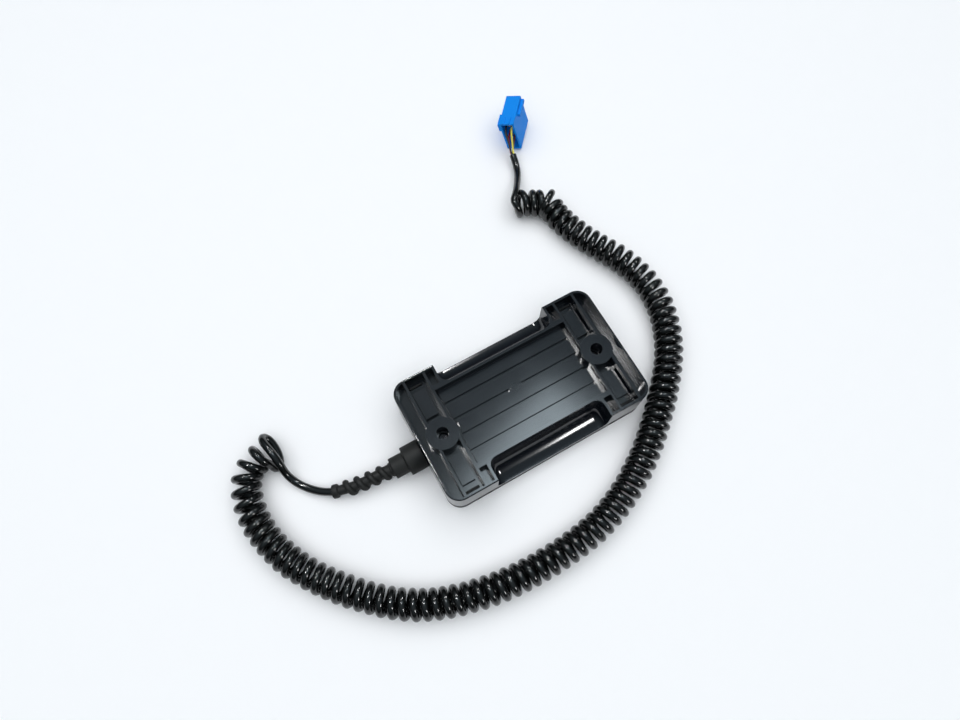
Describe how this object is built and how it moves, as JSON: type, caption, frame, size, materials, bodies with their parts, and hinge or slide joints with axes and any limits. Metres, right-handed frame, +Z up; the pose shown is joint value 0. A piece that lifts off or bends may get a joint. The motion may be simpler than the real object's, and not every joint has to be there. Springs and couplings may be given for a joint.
{
  "type": "wired remote control",
  "caption": "Hand-held wired remote control for truck air suspension: a black two-shell housing with sprung keys, a curly cord and a blue multi-pin plug.",
  "frame": {"origin": "middle of the housing's footprint, on the surface that it lies on, keys down", "axes": "+X along the housing away from the cord, +Y across it, +Z up through the back"},
  "size_m": [0.2863, 0.2758, 0.028],
  "materials": {
    "shell_plastic": "moulded, glossy on the back, fine grain on the face",
    "seal_rubber": "matt",
    "silicone": "matt",
    "key_plastic": "fine grain",
    "stop_plastic": "fine grain",
    "lens_plastic": "translucent, polished",
    "board_laminate": "solder resist",
    "switch_plastic": "moulded",
    "led_body": "moulded",
    "chip_epoxy": "moulded",
    "can_metal": "drawn can",
    "wire_insulation": "extruded",
    "screw_steel": "zinc plated",
    "clamp_plastic": "moulded",
    "boot_rubber": "matt, moulded",
    "cord_jacket": "glossy polyurethane",
    "plug_plastic": "moulded, satin",
    "terminal_metal": "stamped, tinned",
    "lock_plastic": "moulded",
    "yellow_insulation": "extruded",
    "red_insulation": "extruded",
    "brown_insulation": "extruded",
    "black_insulation": "extruded"
  },
  "bodies": {
    "housing": {"rear_shell": "shell_plastic", "front_shell": "shell_plastic", "shell_gasket": "seal_rubber", "keypad_membrane": "silicone", "indicator_lenses": "lens_plastic", "circuit_board": "board_laminate", "tact_switches": "switch_plastic", "board_header": "switch_plastic", "header_plug": "switch_plastic", "indicator_leds": "led_body", "microcontroller": "chip_epoxy", "voltage_regulator": "chip_epoxy", "resistors": "chip_epoxy", "capacitors": "can_metal", "inner_leads": "wire_insulation", "board_screws": "screw_steel", "housing_screws": "screw_steel", "clamp_screws": "screw_steel", "cord_clamp": "clamp_plastic", "cord_boot": "boot_rubber", "cord_inner_end": "cord_jacket", "cord_lead": "cord_jacket", "cord_coil": "cord_jacket", "cord_tail": "cord_jacket", "plug_housing": "plug_plastic", "plug_terminals": "terminal_metal", "terminal_lock": "lock_plastic", "plug_wire_yellow": "yellow_insulation", "plug_wire_red": "red_insulation", "plug_wire_brown": "brown_insulation", "plug_wire_black": "black_insulation"},
    "key_memory_1_body": {"key_memory_1": "key_plastic"},
    "key_memory_2_body": {"key_memory_2": "key_plastic"},
    "key_stop_body": {"key_stop": "stop_plastic"},
    "key_lower_body": {"key_lower": "key_plastic"},
    "key_ride_level_body": {"key_ride_level": "key_plastic"},
    "key_raise_body": {"key_raise": "key_plastic"},
    "key_front_axle_body": {"key_front_axle": "key_plastic"},
    "key_lock_body": {"key_lock": "key_plastic"},
    "key_rear_axle_body": {"key_rear_axle": "key_plastic"}
  },
  "joints": [
    {"name": "key_memory_1_press", "type": "slide", "parent": "housing", "child": "key_memory_1_body", "axis": [0, 0, 1], "range_m": [0, 0.001], "stiffness_N_per_m": 600, "springref_m": -0.0015},
    {"name": "key_memory_2_press", "type": "slide", "parent": "housing", "child": "key_memory_2_body", "axis": [0, 0, 1], "range_m": [0, 0.001], "stiffness_N_per_m": 600, "springref_m": -0.0015},
    {"name": "key_stop_press", "type": "slide", "parent": "housing", "child": "key_stop_body", "axis": [0, 0, 1], "range_m": [0, 0.001], "stiffness_N_per_m": 600, "springref_m": -0.0015},
    {"name": "key_lower_press", "type": "slide", "parent": "housing", "child": "key_lower_body", "axis": [0, 0, 1], "range_m": [0, 0.001], "stiffness_N_per_m": 600, "springref_m": -0.0015},
    {"name": "key_ride_level_press", "type": "slide", "parent": "housing", "child": "key_ride_level_body", "axis": [0, 0, 1], "range_m": [0, 0.001], "stiffness_N_per_m": 600, "springref_m": -0.0015},
    {"name": "key_raise_press", "type": "slide", "parent": "housing", "child": "key_raise_body", "axis": [0, 0, 1], "range_m": [0, 0.001], "stiffness_N_per_m": 600, "springref_m": -0.0015},
    {"name": "key_front_axle_press", "type": "slide", "parent": "housing", "child": "key_front_axle_body", "axis": [0, 0, 1], "range_m": [0, 0.001], "stiffness_N_per_m": 600, "springref_m": -0.0015},
    {"name": "key_lock_press", "type": "slide", "parent": "housing", "child": "key_lock_body", "axis": [0, 0, 1], "range_m": [0, 0.001], "stiffness_N_per_m": 600, "springref_m": -0.0015},
    {"name": "key_rear_axle_press", "type": "slide", "parent": "housing", "child": "key_rear_axle_body", "axis": [0, 0, 1], "range_m": [0, 0.001], "stiffness_N_per_m": 600, "springref_m": -0.0015}
  ]
}
